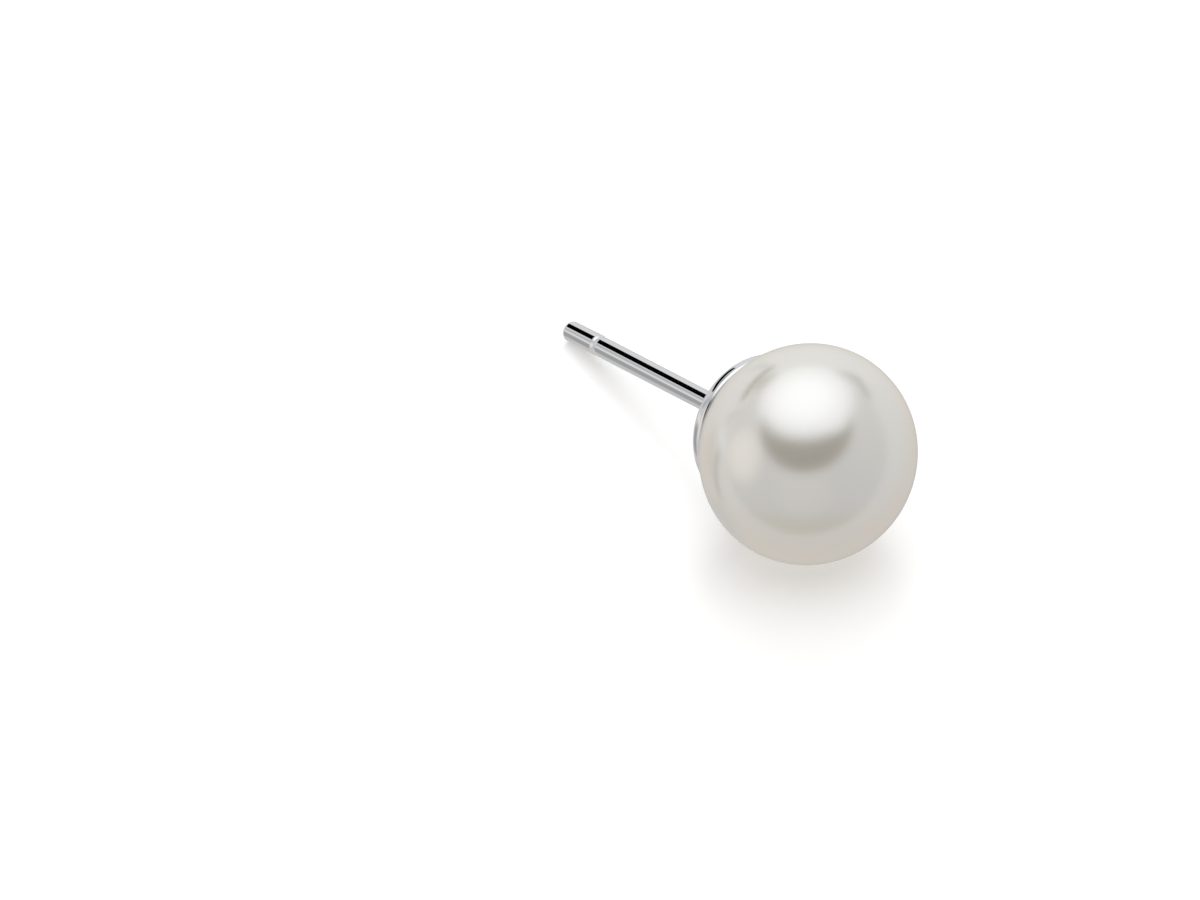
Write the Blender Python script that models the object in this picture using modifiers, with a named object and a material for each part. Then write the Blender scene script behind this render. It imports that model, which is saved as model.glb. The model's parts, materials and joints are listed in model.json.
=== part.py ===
"""Pearl stud earring at its real size, lying as it rests on a table.

A half-drilled pearl sits in a shallow metal cup. The peg inside the pearl, the cup and the
ear post are soldered together, so they are one solid. The stud lies on the pearl and on the
tip of its post: the pearl's front faces -Y and the post runs towards +Y. Units are metres,
+Z is up, and the origin is on the table below the middle of the stud's bounding box.

Every piece is modelled round the drill axis, its local Z, with the pearl's centre as local
origin and the post's tip at the top. A parent empty then lays the whole stud down.
"""

import math

import bmesh
import bpy

# Pearl
PEARL_ACROSS = 0.0080
PEARL_ALONG = 0.0075

# Peg in the drilled hole
PEG_DIAMETER = 0.0008
PEG_LENGTH = 0.0036
PEG_CHAMFER = 0.0001
GLUE_LINE = 0.00005
HOLE_END_ROOM = 0.0004

# Cup
CUP_DIAMETER = 0.00548
CUP_WALL = 0.00035
LIP_WIDTH = 0.00015
LIP_ROUND = 0.00011
SIDE_HEIGHT = 0.00028
BACK_FLAT_DIAMETER = 0.0024
SOLDER_FILLET = 0.00012

# Ear post
POST_DIAMETER = 0.00075
POST_LENGTH = 0.01078
TIP_DIAMETER = 0.00079
TIP_ROUND = 0.00012
GROOVE_TO_TIP = 0.00193
GROOVE_WIDTH = 0.00024
GROOVE_DEPTH = 0.000035

# Fineness of the round forms
SEGMENTS = 48
PEARL_RINGS = 24
SEAT_STEPS = 8
SHOULDER_STEPS = 8
ROUND_STEPS = 4
GROOVE_STEPS = 6
ON_AXIS = 0.000001

# Places along the drill axis and radii that several pieces share
PEARL_RADIUS = PEARL_ACROSS / 2
PEARL_POLE = PEARL_ALONG / 2
SEAT_RADIUS = PEARL_RADIUS + GLUE_LINE
SEAT_POLE = PEARL_POLE + GLUE_LINE
PEG_END = SEAT_POLE - PEG_LENGTH
HOLE_END = PEG_END - HOLE_END_ROOM
BACK = SEAT_POLE + CUP_WALL
TIP = BACK + POST_LENGTH
TIP_ROUND_CENTRE = (POST_DIAMETER / 2 - TIP_ROUND, TIP - TIP_ROUND)

PEARL_COLOUR = (0.84, 0.82, 0.78, 1.0)
METAL_COLOUR = (0.80, 0.80, 0.81, 1.0)


def clear_scene():
    """Takes away whatever the scene holds."""
    for thing in list(bpy.data.objects):
        bpy.data.objects.remove(thing, do_unlink=True)


def collection(name):
    """A new collection in the scene."""
    group = bpy.data.collections.new(name)
    bpy.context.scene.collection.children.link(group)
    return group


def material(name, colour, roughness, metallic):
    """A plain finish."""
    finish = bpy.data.materials.new(name)
    finish.use_nodes = True
    shader = finish.node_tree.nodes["Principled BSDF"]
    shader.inputs["Base Color"].default_value = colour
    shader.inputs["Roughness"].default_value = roughness
    shader.inputs["Metallic"].default_value = metallic
    return finish


def arc(centre, radius, start, end, steps):
    """Points of a round, with angles from the outward direction towards the tip."""
    angles = [start + (end - start) * i / steps for i in range(steps + 1)]
    return [(centre[0] + radius * math.cos(a), centre[1] + radius * math.sin(a)) for a in angles]


def resting_tilt():
    """How far the post slopes down when the pearl and the post's tip touch the table.

    A facet of each round form lies on the table, so radii count to the middle of a facet.
    """
    facet = math.cos(math.pi / SEGMENTS)
    tip_radius, tip_height = TIP_ROUND_CENTRE
    tilt = 0.0
    for _ in range(20):
        pearl = math.hypot(PEARL_RADIUS * facet * math.cos(tilt), PEARL_POLE * math.sin(tilt))
        tip = tip_radius * facet * math.cos(tilt) + TIP_ROUND
        tilt = math.asin((pearl - tip) / tip_height)
    return tilt, pearl


def lay_down(group):
    """The empty that carries the stud: its local Z is the drill axis, and it slopes down."""
    tilt, height = resting_tilt()
    tip_radius, tip_height = TIP_ROUND_CENTRE
    front = math.hypot(PEARL_POLE * math.cos(tilt), PEARL_RADIUS * math.sin(tilt))
    rear = tip_height * math.cos(tilt) + tip_radius * math.sin(tilt) + TIP_ROUND
    carrier = bpy.data.objects.new("drill_axis", None)
    carrier.location = (0.0, (front - rear) / 2, height)
    carrier.rotation_euler = (-(math.pi / 2 + tilt), 0.0, 0.0)
    group.objects.link(carrier)
    return carrier


def place(thing, group, carrier, facet_down=True):
    """Moves a new object into its collection and hangs it on the carrier.

    Turned by half a facet, a round form lies on a facet and not on the edge between two.
    """
    for old in list(thing.users_collection):
        old.objects.unlink(thing)
    group.objects.link(thing)
    thing.parent = carrier
    thing.rotation_euler.z = math.pi / SEGMENTS if facet_down else 0.0


def make_drill(group, carrier):
    """The cutter for the hole that stops a little past the pearl's middle."""
    top = 2 * PEARL_POLE
    bpy.ops.mesh.primitive_cylinder_add(
        vertices=SEGMENTS,
        radius=PEG_DIAMETER / 2 + GLUE_LINE,
        depth=top - HOLE_END,
        location=(0.0, 0.0, (top + HOLE_END) / 2),
    )
    drill = bpy.context.object
    drill.name = "drill"
    drill.hide_render = True
    drill.display_type = "WIRE"
    place(drill, group, carrier, facet_down=False)
    return drill


def make_pearl(group, carrier, drill):
    """The pearl: a slightly flattened ball, drilled halfway from behind."""
    bpy.ops.mesh.primitive_uv_sphere_add(segments=SEGMENTS, ring_count=PEARL_RINGS, radius=PEARL_RADIUS)
    pearl = bpy.context.object
    pearl.name = "pearl"
    pearl.scale.z = PEARL_POLE / PEARL_RADIUS
    bpy.ops.object.transform_apply(location=False, rotation=False, scale=True)
    pearl.data.shade_smooth()
    pearl.data.materials.append(material("pearl", PEARL_COLOUR, 0.25, 0.0))
    place(pearl, group, carrier)
    hole = pearl.modifiers.new("drilled hole", "BOOLEAN")
    hole.operation = "DIFFERENCE"
    hole.solver = "EXACT"
    hole.object = drill


def tip_profile():
    """From the middle of the flat end, round its edge, down the tip and through the groove."""
    groove_middle = TIP - GROOVE_TO_TIP
    half = GROOVE_WIDTH / 2
    groove = []
    for i in range(GROOVE_STEPS + 1):
        share = i / GROOVE_STEPS
        rim = (TIP_DIAMETER * (1 - share) + POST_DIAMETER * share) / 2
        dip = GROOVE_DEPTH * math.sin(math.pi * share)
        groove.append((rim - dip, groove_middle + half * (1 - 2 * share)))
    return [(0.0, TIP)] + arc(TIP_ROUND_CENTRE, TIP_ROUND, math.pi / 2, 0.0, ROUND_STEPS) + groove


def back_profile():
    """The solder fillet at the post's foot, the flat back and the shoulder down to the side."""
    foot = POST_DIAMETER / 2 + SOLDER_FILLET
    fillet = arc((foot, BACK + SOLDER_FILLET), SOLDER_FILLET, math.pi, 1.5 * math.pi, ROUND_STEPS)
    flat_radius = BACK_FLAT_DIAMETER / 2
    run = CUP_DIAMETER / 2 - flat_radius
    drop = BACK - rim_height() - LIP_ROUND - SIDE_HEIGHT
    radius = (run**2 + drop**2) / (2 * drop)
    end = math.pi / 2 - math.asin(run / radius)
    shoulder = arc((flat_radius, BACK - radius), radius, math.pi / 2, end, SHOULDER_STEPS)
    return fillet + shoulder


def rim_height():
    """Where the seat ends along the axis, which is the front of the lip."""
    return SEAT_POLE * math.cos(seat_angle(CUP_DIAMETER / 2 - LIP_WIDTH))


def seat_angle(radius):
    """The angle of the pearl's surface, from its pole, at a distance from the axis."""
    return math.asin(radius / SEAT_RADIUS)


def rim_profile():
    """Round the polished lip, from the side to the edge of the seat."""
    centre = (CUP_DIAMETER / 2 - LIP_ROUND, rim_height() + LIP_ROUND)
    return arc(centre, LIP_ROUND, 0.0, -math.pi / 2, ROUND_STEPS)


def seat_profile():
    """The hollow that holds the pearl, one glue line off it, and the peg down to its end."""
    outer = seat_angle(CUP_DIAMETER / 2 - LIP_WIDTH)
    inner = seat_angle(PEG_DIAMETER / 2)
    seat = []
    for i in range(SEAT_STEPS + 1):
        angle = outer + (inner - outer) * i / SEAT_STEPS
        seat.append((SEAT_RADIUS * math.sin(angle), SEAT_POLE * math.cos(angle)))
    peg = [
        (PEG_DIAMETER / 2, PEG_END + PEG_CHAMFER),
        (PEG_DIAMETER / 2 - PEG_CHAMFER, PEG_END),
        (0.0, PEG_END),
    ]
    return seat + peg


def make_cup_and_post(group, carrier):
    """The soldered metal: one outline from the tip to the peg's end, turned round the axis."""
    outline = tip_profile() + back_profile() + rim_profile() + seat_profile()
    shape = bmesh.new()
    points = [shape.verts.new((radius, 0.0, height)) for radius, height in outline]
    for start, end in zip(points, points[1:]):
        shape.edges.new((start, end))
    mesh = bpy.data.meshes.new("cup_and_post")
    shape.to_mesh(mesh)
    shape.free()
    mesh.materials.append(material("polished_metal", METAL_COLOUR, 0.12, 1.0))
    metal = bpy.data.objects.new("cup_and_post", mesh)
    place(metal, group, carrier)
    turn = metal.modifiers.new("turned", "SCREW")
    turn.angle = 2 * math.pi
    turn.steps = SEGMENTS
    turn.render_steps = SEGMENTS
    turn.use_merge_vertices = True
    turn.merge_threshold = ON_AXIS


def main():
    """Models the stud."""
    clear_scene()
    stud = collection("pearl_earring")
    cutters = collection("cutters")
    carrier = lay_down(stud)
    drill = make_drill(cutters, carrier)
    make_pearl(stud, carrier, drill)
    make_cup_and_post(stud, carrier)


main()
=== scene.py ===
"""Pearl stud earring: fine meshes, finishes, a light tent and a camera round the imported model.

The stud lies on a table on its pearl and on the tip of its ear post. Both pieces are turned
round the drill axis. They are modelled with the pearl's centre as origin and the post's tip
at +Z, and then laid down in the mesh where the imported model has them. Lengths are in metres,
+Z is up, and light values are linear.
"""

import json
import math
from collections import namedtuple

import bmesh
import bpy
from bpy.props import FloatProperty, FloatVectorProperty, IntProperty, PointerProperty
from mathutils import Matrix, Vector, noise


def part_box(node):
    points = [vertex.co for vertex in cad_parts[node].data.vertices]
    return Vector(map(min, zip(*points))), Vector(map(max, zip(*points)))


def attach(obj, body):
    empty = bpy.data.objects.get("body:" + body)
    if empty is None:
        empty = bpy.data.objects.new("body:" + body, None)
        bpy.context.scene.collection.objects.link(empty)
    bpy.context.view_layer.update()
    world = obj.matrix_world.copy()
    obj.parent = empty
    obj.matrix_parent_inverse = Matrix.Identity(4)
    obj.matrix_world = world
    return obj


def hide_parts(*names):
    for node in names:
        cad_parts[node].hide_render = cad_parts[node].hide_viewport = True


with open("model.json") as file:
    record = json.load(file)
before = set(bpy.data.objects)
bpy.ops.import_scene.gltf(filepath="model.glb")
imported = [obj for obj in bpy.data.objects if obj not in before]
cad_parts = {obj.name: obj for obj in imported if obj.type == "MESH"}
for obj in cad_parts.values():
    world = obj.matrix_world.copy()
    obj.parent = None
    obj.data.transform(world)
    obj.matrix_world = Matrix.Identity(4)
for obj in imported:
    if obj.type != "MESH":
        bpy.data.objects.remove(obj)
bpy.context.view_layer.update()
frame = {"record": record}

bl_info = {
    "name": "Pearl Stud Earring",
    "version": (1, 0, 0),
    "blender": (4, 5, 0),
    "location": "3D View > Sidebar > Stud",
    "description": "Models a pearl stud earring with its finishes, light tent and camera",
    "category": "Object",
}

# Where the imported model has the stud, and how its drill axis lies
PEARL_LOW, PEARL_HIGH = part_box("pearl")
CENTRE = (PEARL_LOW + PEARL_HIGH) / 2
AXIS = Vector(frame["record"]["mounts"][0]["axis"]).normalized()
SIDEWAYS = Vector((1.0, 0.0, 0.0))
TURN = Matrix((SIDEWAYS, AXIS.cross(SIDEWAYS), AXIS)).transposed()
LAY_DOWN = Matrix.Translation(CENTRE) @ TURN.to_4x4()

# Points closer than this are one point: the ends of an outline on its axis
WELD = 0.00000005

# The picture that the camera matches, in pixels
PICTURE_SIZE = (1200, 900)
PEARL_IN_PICTURE = (808.4, 454.2)
PIXELS_PER_METRE = 28018
SENSOR_WIDTH = 36.0

# Values of a noise between which the pearl's overtone grows from none to full
OVERTONE_FROM, OVERTONE_TO = 0.35, 0.65

# Mix node sockets for colours
MIX_FACTOR, MIX_UNDER, MIX_OVER, MIX_RESULT = 0, 6, 7, 2

# A side of an outline is long from this many margins on
LONG_SIDE = 10

# A round patch of light in the tent. Azimuth 0 is behind the stud and 180 is the camera's
# side, positive to the right of the picture. Angles are in degrees.
Patch = namedtuple("Patch", "name azimuth elevation radius edge colour")
PATCHES = (
    Patch("table round the stud", 180, -84, 51, 13, (0.66, 0.63, 0.53)),
    Patch("room below the camera", 180, -3, 22, 14, (0.83, 0.81, 0.78)),
    Patch("table and backdrop", 0, -38.6, 87.2, 4, (0.90, 0.89, 0.88)),
    Patch("cool backdrop above the table", 0, 3, 32, 16, (0.90, 0.915, 0.94)),
    Patch("table top behind the stud", 0, -64, 54, 20, (0.88, 0.81, 0.74)),
    Patch("shade behind the stud", 0, -38.6, 20, 12, (0.64, 0.63, 0.61)),
    Patch("warm fold on the left", -61, -20, 11, 7, (0.78, 0.71, 0.65)),
    Patch("pale wall on the left", -108, 11, 17, 13, (1.16, 1.08, 1.02)),
    Patch("lit backdrop above the stud", 3, 38, 29, 17, (0.98, 0.98, 0.98)),
    Patch("shade left of the softbox", -39, 37, 8, 6, (0.44, 0.44, 0.43)),
    Patch("shade right of the softbox", 36, 36, 6, 5, (0.62, 0.62, 0.61)),
    Patch("dark room behind the camera", 176, 65.3, 47, 6, (0.08, 0.07, 0.068)),
    Patch("right wing of the softbox", 112, 61, 13, 9, (1.15, 1.15, 1.15)),
    Patch("overhead softbox", 12, 85, 43, 9.5, (1.42, 1.42, 1.42)),
    Patch("middle of the softbox", 12, 86, 22, 16, (1.80, 1.80, 1.80)),
)

# A rectangular card in the tent. Width and height are angles in degrees.
Card = namedtuple("Card", "name azimuth elevation width height edge light")
CARDS = (
    Card("grey card by the table on the left", -48, -52, 36, 16, 0.4, 0.74),
    Card("grey card low on the left", -76, -23, 8, 31, 0.35, 0.50),
    Card("bright slit on the left", -75, -1, 18, 7, 0.3, 1.04),
    Card("grey card high on the left", -66, 14.5, 7, 16, 0.4, 0.64),
    Card("grey card behind the black card", -22, 8, 6, 22, 0.4, 0.68),
    Card("black card on the left", -38.7, 24, 33, 5.6, 0.06, 0.0),
    Card("grey card on the right", 47, 28, 24, 9, 0.4, 0.42),
)

# How square the cards' corners are: 2 makes an ellipse, and more is squarer
CARD_CORNERS = 6.0

# The least that a ray points at a card, as a cosine, so that no second card shows behind it
LEAST_AHEAD = 0.01


def length(name, description, default):
    """A length in metres that a user may change."""
    return FloatProperty(
        name=name, description=description, default=default, min=0.0, precision=6,
        subtype="DISTANCE", unit="LENGTH",
    )


def colour(name, description, default):
    """A linear colour that a user may change."""
    return FloatVectorProperty(
        name=name, description=description, default=default, size=3, min=0.0, subtype="COLOR"
    )


def share(name, description, default):
    """A plain number from 0 to 1 that a user may change."""
    return FloatProperty(
        name=name, description=description, default=default, min=0.0, max=1.0, subtype="FACTOR"
    )


def number(name, description, default):
    """A plain number that a user may change."""
    return FloatProperty(name=name, description=description, default=default, min=0.0)


class PearlSettings(bpy.types.PropertyGroup):
    """Sizes and colours of the pearl"""

    across: length("Across", "Diameter square to the drill axis", PEARL_HIGH.x - PEARL_LOW.x)
    along: length("Along", "Length along the drill axis", 0.0075)
    hole: length("Hole", "Diameter of the drilled hole", 0.0009)
    hole_past_middle: length("Hole past middle", "How far past the middle the hole goes", 0.0002)
    hole_round: length("Hole edge", "Rounding of the hole's edge", 0.00004)
    swell: length("Swell", "How far the grown surface strays from a true round", 0.000003)
    swell_size: length("Swell size", "Width of one slow swell of the surface", 0.0032)
    grain_size: length("Grain size", "Width of one speck of the nacre's grain", 0.00007)
    grain_height: length("Grain height", "Height of the nacre's grain", 0.0000021)
    segments: IntProperty(name="Segments", description="Steps round the pearl", default=192, min=24)
    rings: IntProperty(name="Rings", description="Steps from hole to front", default=112, min=12)
    body: colour("Body", "Colour of the nacre under its gloss", (0.61, 0.58, 0.49))
    rose: colour("Rose", "Overtone in slow patches", (0.615, 0.573, 0.495))
    rose_size: length("Rose size", "Width of one patch of the overtone", 0.0024)
    gloss: share("Gloss blur", "Roughness of the nacre", 0.195)
    gloss_index: number("Gloss index", "Index of refraction that gives the nacre its strong gloss", 4.3)
    cool: colour("Gloss tint", "Colour of the gloss where it is seen straight on", (0.905, 0.935, 1.0))


class MetalSettings(bpy.types.PropertyGroup):
    """Sizes and colours of the cup and its ear post"""

    cup: length("Cup", "Outer diameter of the cup", 0.00548)
    wall: length("Wall", "Metal between the pearl's pole and the cup's back", 0.00035)
    glue_line: length("Glue line", "Gap between pearl and metal", 0.00005)
    lip: length("Lip", "Width of the cup's lip", 0.00015)
    lip_round: length("Lip rounding", "Rounding of the lip's outer edge", 0.00014)
    lip_inside: length("Lip inside", "Rounding of the lip's inner edge", 0.00003)
    side: length("Side", "Height of the cup's side from the lip's rounding up", 0.00021)
    side_round: length("Side rounding", "Rounding between the side and the shoulder", 0.00005)
    back_flat: length("Back flat", "Diameter of the flat on the back", 0.0024)
    solder: length("Solder", "Size of the solder fillet at the post's foot", 0.00012)
    peg: length("Peg", "Diameter of the peg in the pearl", 0.0008)
    peg_length: length("Peg length", "From the seat's middle to the peg's end", 0.0036)
    peg_chamfer: length("Peg chamfer", "Chamfer at the peg's end", 0.0001)
    post: length("Post", "Diameter of the ear post", 0.00075)
    post_length: length("Post length", "From the cup's back to the tip", 0.01078)
    tip: length("Tip", "Diameter of the post past its groove", 0.00079)
    tip_round: length("Tip rounding", "Rounding of the tip's edge", 0.00012)
    groove_to_tip: length("Groove to tip", "From the groove's middle to the tip", 0.00193)
    groove: length("Groove", "Width of the groove", 0.00024)
    groove_depth: length("Groove depth", "Depth of the groove", 0.000035)
    groove_round: length("Groove rounding", "Softness of the groove's edges", 0.00004)
    segments: IntProperty(name="Segments", description="Steps round the metal", default=144, min=24)
    arcs: IntProperty(name="Arcs", description="Steps across seat and shoulder", default=24, min=6)
    metal: colour("Metal", "Colour of the plated surface", (0.645, 0.655, 0.67))
    cup_blur: share("Cup blur", "Roughness of the polished cup", 0.03)
    cup_line: length("Cup line", "Width of one polishing line", 0.000012)
    cup_line_height: length("Cup line height", "Height of the polishing lines", 0.00000002)
    post_blur: share("Post blur", "Roughness of the drawn wire", 0.03)
    post_line: length("Post line", "Width of one drawn line", 0.00002)
    post_line_height: length("Post line height", "Height of the drawn lines", 0.00000003)
    post_line_squeeze: share("Post line squeeze", "Width of a drawn line over its length", 0.02)


class StageSettings(bpy.types.PropertyGroup):
    """Light tent, table top and camera"""

    wall: colour("Tent walls", "Light from the tent's plain walls", (0.74, 0.74, 0.74))
    backdrop: colour("Backdrop", "What the camera sees past the table top", (1.0, 1.0, 1.0))
    floor: colour("Floor", "Colour of the table top", (0.90, 0.90, 0.90))
    floor_reach: length("Floor reach", "From the table top's middle to its sides", 2.0)
    floor_roughness: share("Floor roughness", "Roughness of the table top under its gloss", 0.9)
    floor_glow: number("Floor glow", "Light from below the table top", 0.35)
    floor_gloss: share("Floor gloss", "Share of the light that the table top mirrors", 0.27)
    floor_blur: share("Floor blur", "Roughness of the table top's gloss", 0.34)
    look_azimuth: FloatProperty(
        name="Camera azimuth", description="Turn of the camera's look from +Y towards +X",
        default=math.radians(36.007), subtype="ANGLE", unit="ROTATION",
    )
    elevation: FloatProperty(
        name="Camera elevation", description="Height of the camera above the horizon",
        default=math.radians(38.60), subtype="ANGLE", unit="ROTATION",
    )
    lens: number("Lens", "Focal length in millimetres", 800.0)


class StudSettings(bpy.types.PropertyGroup):
    """Everything that a user may change"""

    pearl: PointerProperty(type=PearlSettings, name="Pearl", description="The pearl")
    metal: PointerProperty(type=MetalSettings, name="Metal", description="The cup and its ear post")
    stage: PointerProperty(type=StageSettings, name="Stage", description="Light, table and camera")


def add_node(tree, kind, options=None, inputs=None):
    """Adds a node, sets its options, and fills its inputs with values or links."""
    made = tree.nodes.new(kind)
    for key, value in (options or {}).items():
        setattr(made, key, value)
    for key, value in (inputs or {}).items():
        if isinstance(value, bpy.types.NodeSocket):
            tree.links.new(value, made.inputs[key])
        else:
            made.inputs[key].default_value = value
    return made


def add_math(tree, operation, *values):
    """Adds a Math node and returns its result."""
    return add_node(tree, "ShaderNodeMath", {"operation": operation}, dict(enumerate(values))).outputs[0]


def add_vector_math(tree, operation, *values):
    """Adds a Vector Math node."""
    return add_node(tree, "ShaderNodeVectorMath", {"operation": operation}, dict(enumerate(values)))


def add_mix(tree, factor, under, over):
    """Mixes two colours and returns the result."""
    options = {"data_type": "RGBA", "blend_type": "MIX"}
    inputs = {MIX_FACTOR: factor, MIX_UNDER: under, MIX_OVER: over}
    return add_node(tree, "ShaderNodeMix", options, inputs).outputs[MIX_RESULT]


def add_shader_mix(tree, factor, under, over):
    """Mixes two shaders and returns the result."""
    return add_node(tree, "ShaderNodeMixShader", None, {0: factor, 1: under, 2: over}).outputs[0]


def add_soft_step(tree, value, start, end):
    """Goes smoothly from 0 to 1 while a value goes from start to end."""
    return add_node(
        tree, "ShaderNodeMapRange", {"interpolation_type": "SMOOTHSTEP"},
        {"Value": value, "From Min": start, "From Max": end},
    ).outputs[0]


def new_group(name, inputs, outputs):
    """A shader node group with named sockets; returns it with its input and output nodes."""
    group = bpy.data.node_groups.new(name, "ShaderNodeTree")
    for socket, kind in inputs:
        group.interface.new_socket(name=socket, in_out="INPUT", socket_type=kind)
    for socket, kind in outputs:
        group.interface.new_socket(name=socket, in_out="OUTPUT", socket_type=kind)
    return group, group.nodes.new("NodeGroupInput"), group.nodes.new("NodeGroupOutput")


def add_group(tree, name, inputs):
    """Places a node group in a material or world."""
    return add_node(tree, "ShaderNodeGroup", {"node_tree": bpy.data.node_groups[name]}, inputs)


def opaque(values):
    """A colour with its alpha."""
    return (*values, 1.0)


def make_grain_group():
    """Fine specks of a given size, as a height for a bump."""
    group, given, result = new_group(
        "fine grain",
        [("Vector", "NodeSocketVector"), ("Speck", "NodeSocketFloat")],
        [("Height", "NodeSocketFloat")],
    )
    scale = add_math(group, "DIVIDE", 1.0, given.outputs["Speck"])
    specks = add_node(
        group, "ShaderNodeTexNoise", None,
        {"Vector": given.outputs["Vector"], "Scale": scale, "Detail": 2.0, "Roughness": 0.6},
    )
    group.links.new(specks.outputs[0], result.inputs["Height"])


def add_grain(tree, shader, vector, speck, height):
    """Roughens a shader's surface with specks of a given width and height."""
    grain = add_group(tree, "fine grain", {"Vector": vector, "Speck": speck})
    bump = add_node(
        tree, "ShaderNodeBump", None,
        {"Strength": 1.0, "Distance": height, "Height": grain.outputs["Height"]},
    )
    tree.links.new(bump.outputs[0], shader.inputs["Normal"])


def add_stud_coordinates(tree):
    """Object coordinates turned so that the pearl's centre is the origin and Z the drill axis."""
    place = add_node(tree, "ShaderNodeTexCoord").outputs["Object"]
    turn = TURN.to_euler()
    inputs = {"Vector": place, "Location": CENTRE, "Rotation": turn}
    return add_node(tree, "ShaderNodeMapping", {"vector_type": "TEXTURE"}, inputs).outputs[0]


def new_material(name):
    """A material with its node tree and its Principled shader."""
    finish = bpy.data.materials.new(name)
    finish.use_nodes = True
    return finish, finish.node_tree, finish.node_tree.nodes["Principled BSDF"]


def make_nacre(pearl):
    """White nacre: a warm body under a cool, slightly blurred gloss with a fine grain."""
    finish, tree, shader = new_material("white_nacre")
    coordinates = add_stud_coordinates(tree)
    drift = add_node(
        tree, "ShaderNodeTexNoise", None,
        {"Vector": coordinates, "Scale": 1 / pearl.rose_size, "Detail": 1.0, "Roughness": 0.4},
    )
    overtone = add_soft_step(tree, drift.outputs[0], OVERTONE_FROM, OVERTONE_TO)
    tint = add_mix(tree, overtone, opaque(pearl.body), opaque(pearl.rose))
    tree.links.new(tint, shader.inputs["Base Color"])
    add_grain(tree, shader, coordinates, pearl.grain_size, pearl.grain_height)
    shader.inputs["Roughness"].default_value = pearl.gloss
    shader.inputs["IOR"].default_value = pearl.gloss_index
    shader.inputs["Specular Tint"].default_value = opaque(pearl.cool)
    return finish


def new_bare_metal(name, metal, blur):
    """A metal finish without lines yet."""
    finish, tree, shader = new_material(name)
    shader.inputs["Base Color"].default_value = opaque(metal.metal)
    shader.inputs["Metallic"].default_value = 1.0
    shader.inputs["Roughness"].default_value = blur
    return finish, tree, shader


def make_polished_metal(metal):
    """The cup's mirror polish: fine lines run round the axis."""
    finish, tree, shader = new_bare_metal("polished_cup", metal, metal.cup_blur)
    place = add_node(tree, "ShaderNodeSeparateXYZ", None, {"Vector": add_stud_coordinates(tree)}).outputs
    flat = add_node(tree, "ShaderNodeCombineXYZ", None, {"X": place["X"], "Y": place["Y"]})
    radius = add_vector_math(tree, "LENGTH", flat.outputs[0]).outputs["Value"]
    rings = add_node(tree, "ShaderNodeCombineXYZ", None, {"X": radius, "Y": place["Z"]})
    add_grain(tree, shader, rings.outputs[0], metal.cup_line, metal.cup_line_height)
    return finish


def make_drawn_metal(metal):
    """The ear post's drawn wire: fine lines run along it."""
    finish, tree, shader = new_bare_metal("drawn_post", metal, metal.post_blur)
    squeeze = (1.0, 1.0, metal.post_line_squeeze)
    lines = add_vector_math(tree, "MULTIPLY", add_stud_coordinates(tree), squeeze)
    add_grain(tree, shader, lines.outputs[0], metal.post_line, metal.post_line_height)
    return finish


def add_point(outline, radius, height, after=None):
    """A corner of an outline, joined to the corner before it."""
    point = outline.verts.new((radius, 0.0, height))
    if after is not None:
        outline.edges.new((after, point))
    return point


def add_arc(outline, start, centre, angle, steps):
    """Carries an outline on along an arc; returns its last point."""
    swept = bmesh.ops.spin(
        outline, geom=[start], cent=(centre[0], 0.0, centre[1]),
        axis=(0.0, 1.0, 0.0), angle=angle, steps=steps,
    )
    return next(item for item in swept["geom_last"] if isinstance(item, bmesh.types.BMVert))


def round_corner(outline, corner, size, steps):
    """Rounds one corner of an outline."""
    bmesh.ops.bevel(
        outline, geom=[corner], offset=size, offset_type="OFFSET", segments=steps, profile=0.5,
        affect="VERTICES", material=-1,
    )


def hold_sides(outline, margin):
    """Adds a point near both ends of each long side, so that round corners don't bend its shading."""
    long_sides = [edge for edge in outline.edges if edge.calc_length() > LONG_SIDE * margin]
    for side in long_sides:
        share_held = margin / side.calc_length()
        start, end = side.verts
        cut_off, _ = bmesh.utils.edge_split(side, start, share_held)
        rest = max(side, cut_off, key=bmesh.types.BMEdge.calc_length)
        bmesh.utils.edge_split(rest, end, share_held)


def turn_outline(outline, steps):
    """Turns an outline a full circle round its axis into a closed solid."""
    bmesh.ops.spin(
        outline, geom=outline.verts[:] + outline.edges[:], cent=(0.0, 0.0, 0.0),
        axis=(0.0, 0.0, 1.0), angle=math.tau, steps=steps, use_merge=True,
    )
    bmesh.ops.remove_doubles(outline, verts=outline.verts[:], dist=WELD)
    bmesh.ops.recalc_face_normals(outline, faces=outline.faces[:])


def finish_piece(shape, name, finishes, node):
    """Lays a modelled piece down in its place and lets it stand for its node."""
    bmesh.ops.transform(shape, matrix=LAY_DOWN, verts=shape.verts[:])
    mesh = bpy.data.meshes.new(name)
    shape.to_mesh(mesh)
    shape.free()
    for finish in finishes:
        mesh.materials.append(finish)
    mesh.shade_smooth()
    piece = bpy.data.objects.new(name, mesh)
    bpy.context.scene.collection.objects.link(piece)
    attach(piece, "root")
    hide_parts(node)
    return piece


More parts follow.
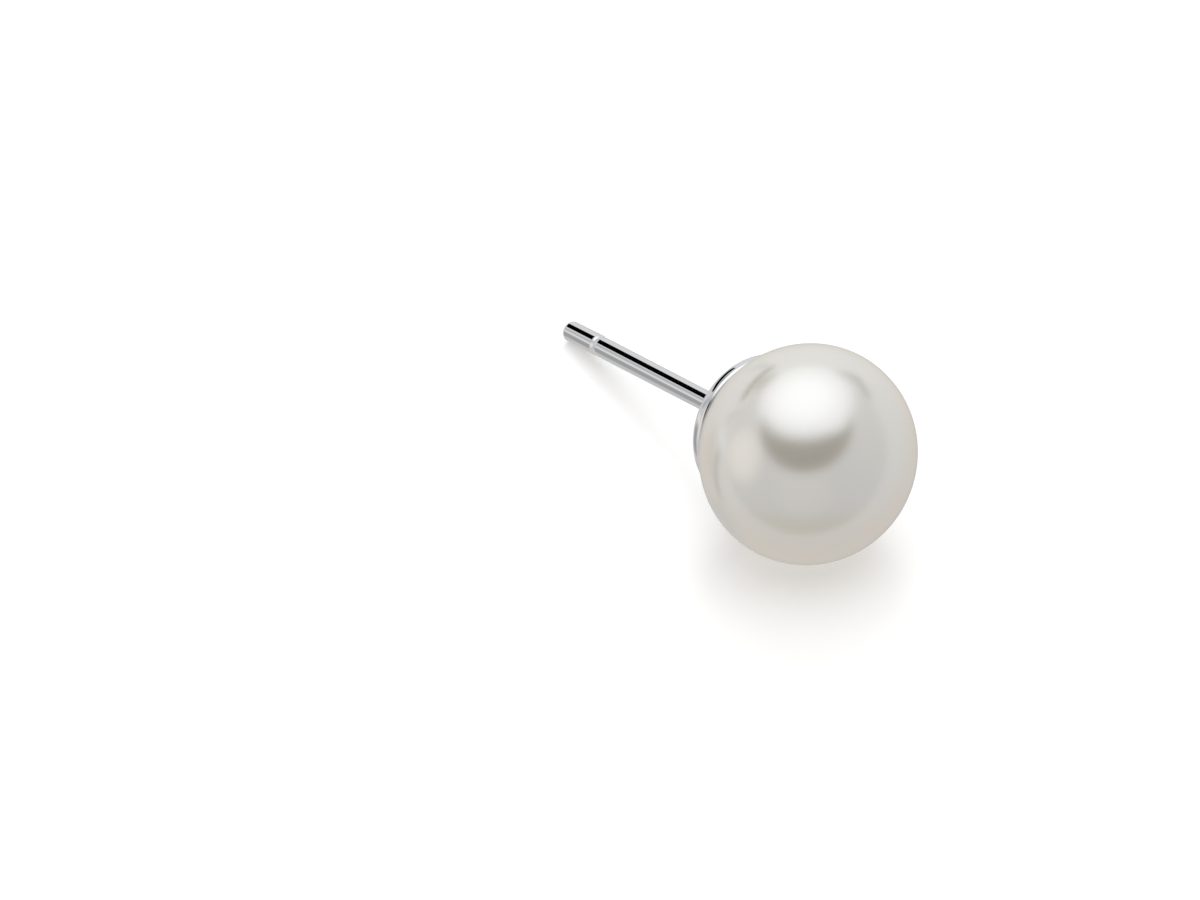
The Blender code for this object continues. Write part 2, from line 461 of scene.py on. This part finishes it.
class STUD_OT_make_pearl(bpy.types.Operator):
    """Models the pearl, drilled halfway from behind, with its nacre"""

    bl_idname = "stud.make_pearl"
    bl_label = "Make Pearl"

    def execute(self, context):
        pearl = context.scene.stud.pearl
        radius = pearl.across / 2
        flattening = pearl.along / pearl.across
        mouth_angle = math.asin(pearl.hole / pearl.across)
        shape = bmesh.new()
        mouth = add_point(shape, pearl.hole / 2, radius * math.cos(mouth_angle))
        add_arc(shape, mouth, (0.0, 0.0), math.pi - mouth_angle, pearl.rings)
        bmesh.ops.scale(shape, vec=(1.0, 1.0, flattening), verts=shape.verts[:])
        hole_edge = add_point(shape, pearl.hole / 2, -pearl.hole_past_middle, mouth)
        add_point(shape, 0.0, -pearl.hole_past_middle, hole_edge)
        round_corner(shape, mouth, pearl.hole_round, steps=4)
        turn_outline(shape, pearl.segments)
        for point in shape.verts:
            point.co += point.co.normalized() * pearl.swell * noise.noise(point.co / pearl.swell_size)
        shape.normal_update()
        finish_piece(shape, "nacre_pearl", [make_nacre(pearl)], "pearl")
        return {"FINISHED"}


class STUD_OT_make_cup_and_post(bpy.types.Operator):
    """Models the cup with its peg and the ear post, soldered together, with their polish"""

    bl_idname = "stud.make_cup_and_post"
    bl_label = "Make Cup and Post"

    def execute(self, context):
        pearl = context.scene.stud.pearl
        metal = context.scene.stud.metal
        seat_radius = pearl.across / 2 + metal.glue_line
        seat_pole = pearl.along / 2 + metal.glue_line
        back = seat_pole + metal.wall
        tip = back + metal.post_length
        rim = metal.cup / 2
        flat = metal.back_flat / 2
        outer = math.asin((rim - metal.lip) / seat_radius)
        inner = math.asin(metal.peg / 2 / seat_radius)

        shape = bmesh.new()
        lip_inside = add_point(shape, rim - metal.lip, seat_radius * math.cos(outer))
        peg_top = add_arc(shape, lip_inside, (0.0, 0.0), inner - outer, metal.arcs)
        bmesh.ops.scale(shape, vec=(1.0, 1.0, seat_pole / seat_radius), verts=shape.verts[:])
        peg_edge = add_point(shape, metal.peg / 2, seat_pole - metal.peg_length, peg_top)
        add_point(shape, 0.0, seat_pole - metal.peg_length, peg_edge)
        front = lip_inside.co.z
        lip_outside = add_point(shape, rim, front, lip_inside)

        drop = back - front - metal.lip_round - metal.side
        run = rim - flat
        shoulder_radius = (run**2 + drop**2) / (2 * drop)
        groove_middle = tip - metal.groove_to_tip
        groove_radius = (metal.tip + metal.post) / 4 - metal.groove_depth
        tip_middle = add_point(shape, 0.0, tip)
        tip_edge = add_point(shape, metal.post / 2, tip, tip_middle)
        groove_end = add_point(shape, metal.tip / 2, groove_middle + metal.groove / 2, tip_edge)
        groove_floor = add_point(shape, groove_radius, groove_middle, groove_end)
        groove_start = add_point(shape, metal.post / 2, groove_middle - metal.groove / 2, groove_floor)
        foot = add_point(shape, metal.post / 2, back, groove_start)
        shoulder = add_point(shape, flat, back, foot)
        shoulder_angle = math.asin(run / shoulder_radius)
        side_top = add_arc(shape, shoulder, (flat, back - shoulder_radius), shoulder_angle, metal.arcs)
        shape.edges.new((side_top, lip_outside))

        round_corner(shape, peg_edge, metal.peg_chamfer, steps=1)
        round_corner(shape, lip_inside, metal.lip_inside, steps=3)
        round_corner(shape, lip_outside, metal.lip_round, steps=8)
        round_corner(shape, side_top, metal.side_round, steps=4)
        round_corner(shape, foot, metal.solder, steps=8)
        for corner in (groove_start, groove_floor, groove_end):
            round_corner(shape, corner, metal.groove_round, steps=5)
        round_corner(shape, tip_edge, metal.tip_round, steps=8)
        hold_sides(shape, metal.lip_inside)
        turn_outline(shape, metal.segments)

        # The post is drawn wire from its solder on, and everything below is polished
        for face in shape.faces:
            face.material_index = int(face.calc_center_median().z > back + metal.solder)
        finishes = [make_polished_metal(metal), make_drawn_metal(metal)]
        finish_piece(shape, "soldered_cup_and_post", finishes, "cup_and_post")
        return {"FINISHED"}


def towards(stage, azimuth, elevation):
    """The direction at an azimuth from the camera's look and at an elevation, in degrees."""
    turn = stage.look_azimuth + math.radians(azimuth)
    rise = math.radians(elevation)
    return Vector((math.sin(turn) * math.cos(rise), math.cos(turn) * math.cos(rise), math.sin(rise)))


def make_patch_group():
    """Lays a round patch of light over what lies under it, seen along a ray."""
    group, given, result = new_group(
        "tent patch",
        [("Ray", "NodeSocketVector"), ("Under", "NodeSocketColor"), ("Patch", "NodeSocketColor"),
         ("Towards", "NodeSocketVector"), ("Outside", "NodeSocketFloat"), ("Inside", "NodeSocketFloat")],
        [("Light", "NodeSocketColor")],
    )
    ray = given.outputs["Ray"]
    near = add_vector_math(group, "DOT_PRODUCT", ray, given.outputs["Towards"]).outputs["Value"]
    mask = add_soft_step(group, near, given.outputs["Outside"], given.outputs["Inside"])
    light = add_mix(group, mask, given.outputs["Under"], given.outputs["Patch"])
    group.links.new(light, result.inputs["Light"])


def make_card_group():
    """Lays a rectangular card over what lies under it, seen along a ray."""
    group, given, result = new_group(
        "tent card",
        [("Ray", "NodeSocketVector"), ("Under", "NodeSocketColor"), ("Card", "NodeSocketColor"),
         ("Towards", "NodeSocketVector"), ("Right", "NodeSocketVector"), ("Up", "NodeSocketVector"),
         ("Edge", "NodeSocketFloat")],
        [("Light", "NodeSocketColor")],
    )
    ray = given.outputs["Ray"]
    ahead = add_vector_math(group, "DOT_PRODUCT", ray, given.outputs["Towards"]).outputs["Value"]
    ahead = add_math(group, "MAXIMUM", ahead, LEAST_AHEAD)
    sides = []
    for side in ("Right", "Up"):
        across = add_vector_math(group, "DOT_PRODUCT", ray, given.outputs[side]).outputs["Value"]
        across = add_math(group, "ABSOLUTE", add_math(group, "DIVIDE", across, ahead))
        sides.append(add_math(group, "POWER", across, CARD_CORNERS))
    reach = add_math(group, "POWER", add_math(group, "ADD", *sides), 1 / CARD_CORNERS)
    outside = add_math(group, "ADD", 1.0, given.outputs["Edge"])
    inside = add_math(group, "SUBTRACT", 1.0, given.outputs["Edge"])
    mask = add_soft_step(group, reach, outside, inside)
    light = add_mix(group, mask, given.outputs["Under"], given.outputs["Card"])
    group.links.new(light, result.inputs["Light"])


def make_tent(stage):
    """The light tent as a world: plain walls, soft patches of light and a few cards."""
    make_patch_group()
    make_card_group()
    world = bpy.data.worlds.new("light_tent")
    world.use_nodes = True
    tree = world.node_tree
    ray = add_node(tree, "ShaderNodeTexCoord").outputs["Generated"]
    light = opaque(stage.wall)
    for patch in PATCHES:
        inputs = {
            "Ray": ray, "Under": light, "Patch": opaque(patch.colour),
            "Towards": towards(stage, patch.azimuth, patch.elevation),
            "Outside": math.cos(math.radians(patch.radius + patch.edge)),
            "Inside": math.cos(math.radians(patch.radius - patch.edge)),
        }
        light = add_group(tree, "tent patch", inputs).outputs[0]
    for card in CARDS:
        middle = towards(stage, card.azimuth, card.elevation)
        right = towards(stage, card.azimuth + 90, 0)
        inputs = {
            "Ray": ray, "Under": light, "Card": opaque((card.light,) * 3),
            "Towards": middle, "Edge": card.edge,
            "Right": right / math.tan(math.radians(card.width / 2)),
            "Up": right.cross(middle) / math.tan(math.radians(card.height / 2)),
        }
        light = add_group(tree, "tent card", inputs).outputs[0]
    seen = add_node(tree, "ShaderNodeLightPath").outputs["Is Camera Ray"]
    shown = add_mix(tree, seen, light, opaque(stage.backdrop))
    tree.links.new(shown, tree.nodes["Background"].inputs["Color"])
    bpy.context.scene.world = world


def make_floor(stage):
    """A pale table top that only the camera sees; the tent lights the stud from below too."""
    finish, tree, shader = new_material("pale_table")
    shader.inputs["Base Color"].default_value = opaque(stage.floor)
    shader.inputs["Roughness"].default_value = stage.floor_roughness
    shader.inputs["Emission Color"].default_value = opaque(stage.floor)
    shader.inputs["Emission Strength"].default_value = stage.floor_glow
    shader.inputs["Specular IOR Level"].default_value = 0.0
    satin = add_node(tree, "ShaderNodeBsdfGlossy", None, {"Roughness": stage.floor_blur})
    top = add_shader_mix(tree, stage.floor_gloss, shader.outputs[0], satin.outputs[0])
    clear = add_node(tree, "ShaderNodeBsdfTransparent")
    below = add_node(tree, "ShaderNodeNewGeometry").outputs["Backfacing"]
    both = add_shader_mix(tree, below, top, clear.outputs[0])
    tree.links.new(both, tree.nodes["Material Output"].inputs["Surface"])
    shape = bmesh.new()
    bmesh.ops.create_grid(shape, x_segments=1, y_segments=1, size=stage.floor_reach)
    mesh = bpy.data.meshes.new("table_top")
    shape.to_mesh(mesh)
    shape.free()
    mesh.materials.append(finish)
    floor = bpy.data.objects.new("table_top", mesh)
    bpy.context.scene.collection.objects.link(floor)
    floor.visible_diffuse = False
    floor.visible_glossy = False
    floor.visible_transmission = False
    floor.visible_shadow = False


def make_camera(stage):
    """A long lens that has the pearl where the picture has it."""
    look = -towards(stage, 180, math.degrees(stage.elevation))
    right = towards(stage, 90, 0)
    up = right.cross(look)
    sideways = (PEARL_IN_PICTURE[0] - PICTURE_SIZE[0] / 2) / PIXELS_PER_METRE
    down = (PEARL_IN_PICTURE[1] - PICTURE_SIZE[1] / 2) / PIXELS_PER_METRE
    aim = CENTRE - right * sideways + up * down
    data = bpy.data.cameras.new("camera")
    data.lens = stage.lens
    data.sensor_width = SENSOR_WIDTH
    distance = PICTURE_SIZE[0] / PIXELS_PER_METRE * stage.lens / SENSOR_WIDTH
    camera = bpy.data.objects.new("camera", data)
    camera.location = aim - look * distance
    camera.rotation_euler = look.to_track_quat("-Z", "Y").to_euler()
    bpy.context.scene.collection.objects.link(camera)
    bpy.context.scene.camera = camera


class STUD_OT_make_stage(bpy.types.Operator):
    """Makes the light tent, the table top and the camera"""

    bl_idname = "stud.make_stage"
    bl_label = "Make Stage"

    def execute(self, context):
        stage = context.scene.stud.stage
        make_tent(stage)
        make_floor(stage)
        make_camera(stage)
        context.scene.view_settings.view_transform = "Standard"
        return {"FINISHED"}


class STUD_PT_sidebar(bpy.types.Panel):
    """Lists the settings and the steps"""

    bl_label = "Pearl Stud"
    bl_idname = "STUD_PT_sidebar"
    bl_space_type = "VIEW_3D"
    bl_region_type = "UI"
    bl_category = "Stud"

    def draw(self, context):
        for group in (context.scene.stud.pearl, context.scene.stud.metal, context.scene.stud.stage):
            box = self.layout.box()
            for name in group.__annotations__:
                box.prop(group, name)
        for step in STEPS:
            self.layout.operator(step.bl_idname)


STEPS = (STUD_OT_make_pearl, STUD_OT_make_cup_and_post, STUD_OT_make_stage)
CLASSES = (PearlSettings, MetalSettings, StageSettings, StudSettings, *STEPS, STUD_PT_sidebar)


def register():
    """Adds the classes and the settings to Blender."""
    for kind in CLASSES:
        bpy.utils.register_class(kind)
    bpy.types.Scene.stud = PointerProperty(type=StudSettings)


def unregister():
    """Takes the settings and the classes away again."""
    del bpy.types.Scene.stud
    for kind in reversed(CLASSES):
        bpy.utils.unregister_class(kind)


def main():
    """Makes the whole scene."""
    register()
    make_grain_group()
    bpy.ops.stud.make_pearl()
    bpy.ops.stud.make_cup_and_post()
    bpy.ops.stud.make_stage()


if __name__ == "__main__":
    main()
